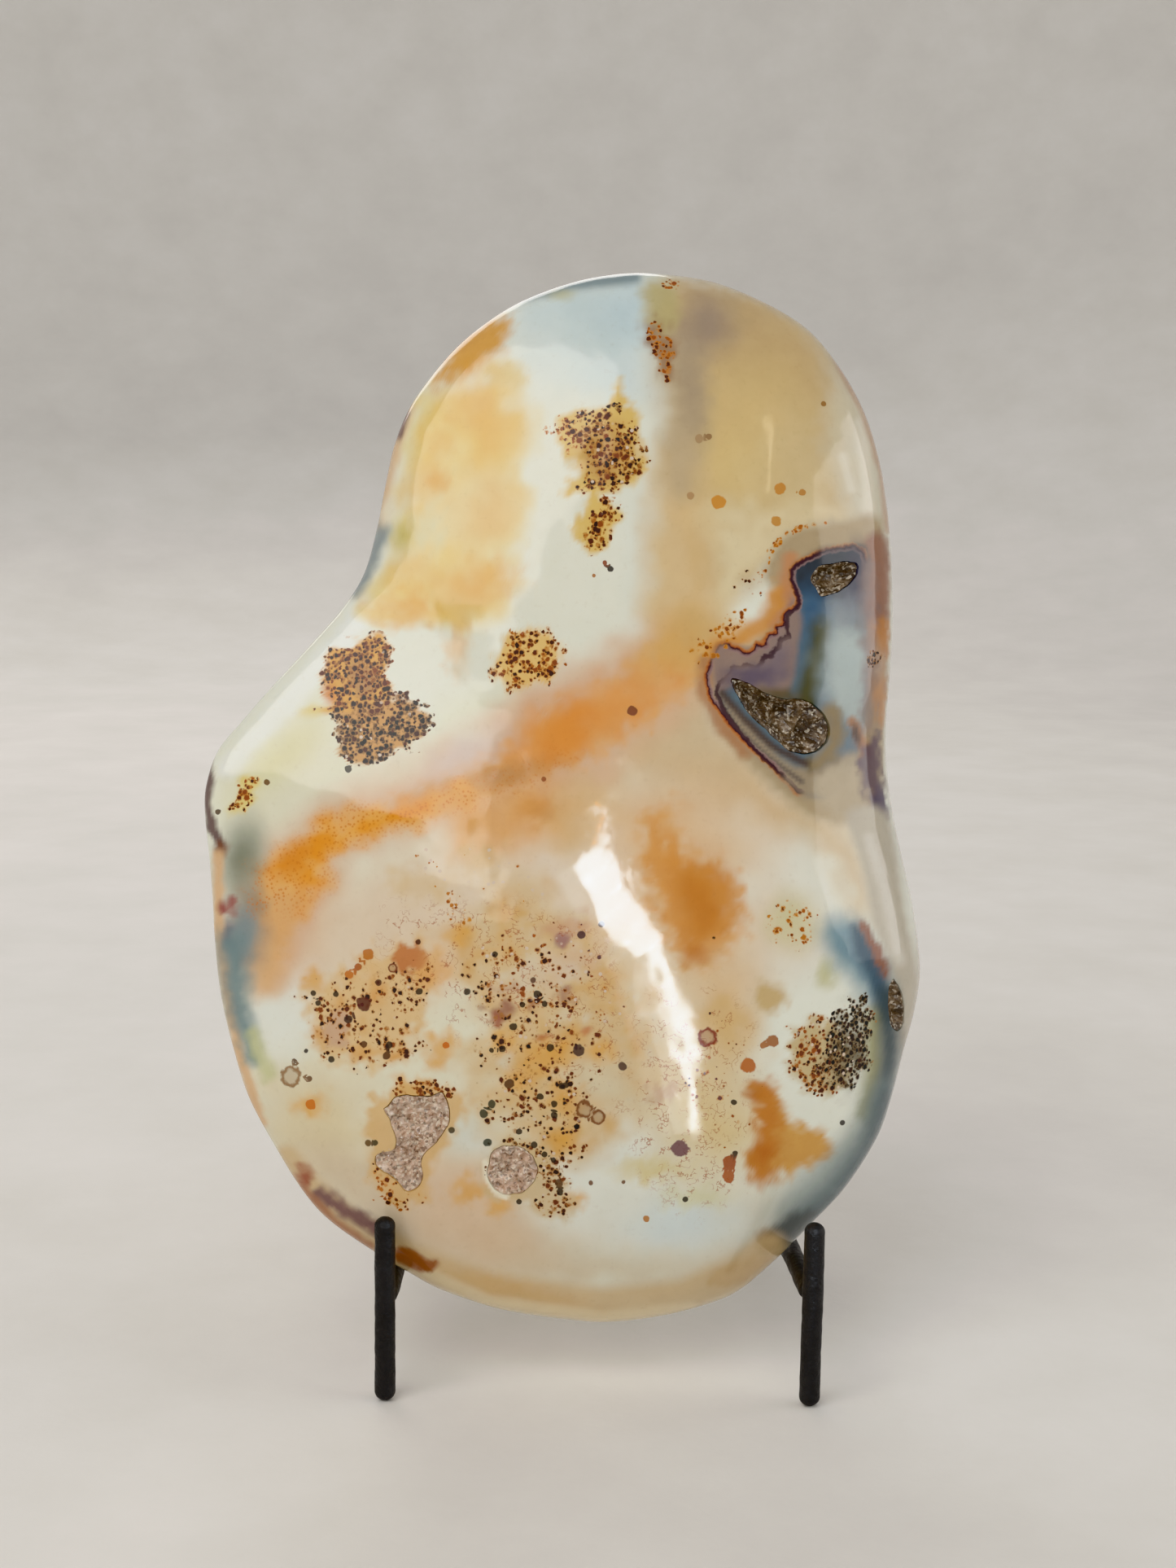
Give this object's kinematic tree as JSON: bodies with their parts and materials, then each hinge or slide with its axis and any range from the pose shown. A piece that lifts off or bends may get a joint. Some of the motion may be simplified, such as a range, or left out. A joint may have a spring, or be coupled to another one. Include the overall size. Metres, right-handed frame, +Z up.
{
  "type": "polished carnelian agate freeform on a wire easel",
  "caption": "Pear-shaped polished carnelian agate freeform with small crystal-lined pockets, leaning back on a black welded rod easel.",
  "frame": {"origin": "middle of the underside of the object's box, on the surface it stands on", "axes": "+Z up; the stone's show face looks toward -Y and slightly up; +X to the viewer's right"},
  "size_m": [0.1278, 0.0802, 0.1944],
  "materials": {
    "polished_agate": "high polish, translucent, milky white with orange and amber stains",
    "quartz_druzy": "raw small crystals, pinkish white to grey-brown",
    "black_coated_steel": "satin black coating over a hand-welded rod"
  },
  "bodies": {
    "root": {"carnelian_stone": "polished_agate", "upper_pocket_druzy": "quartz_druzy", "long_pocket_druzy": "quartz_druzy", "edge_pocket_druzy": "quartz_druzy", "lower_left_druzy": "quartz_druzy", "lower_middle_druzy": "quartz_druzy", "front_post_left": "black_coated_steel", "front_post_right": "black_coated_steel", "rail_left": "black_coated_steel", "rail_right": "black_coated_steel", "rear_foot_left": "black_coated_steel", "rear_foot_right": "black_coated_steel", "back_upright_left": "black_coated_steel", "back_upright_right": "black_coated_steel", "back_cross_bar": "black_coated_steel", "rear_cross_bar": "black_coated_steel"}
  },
  "joints": []
}
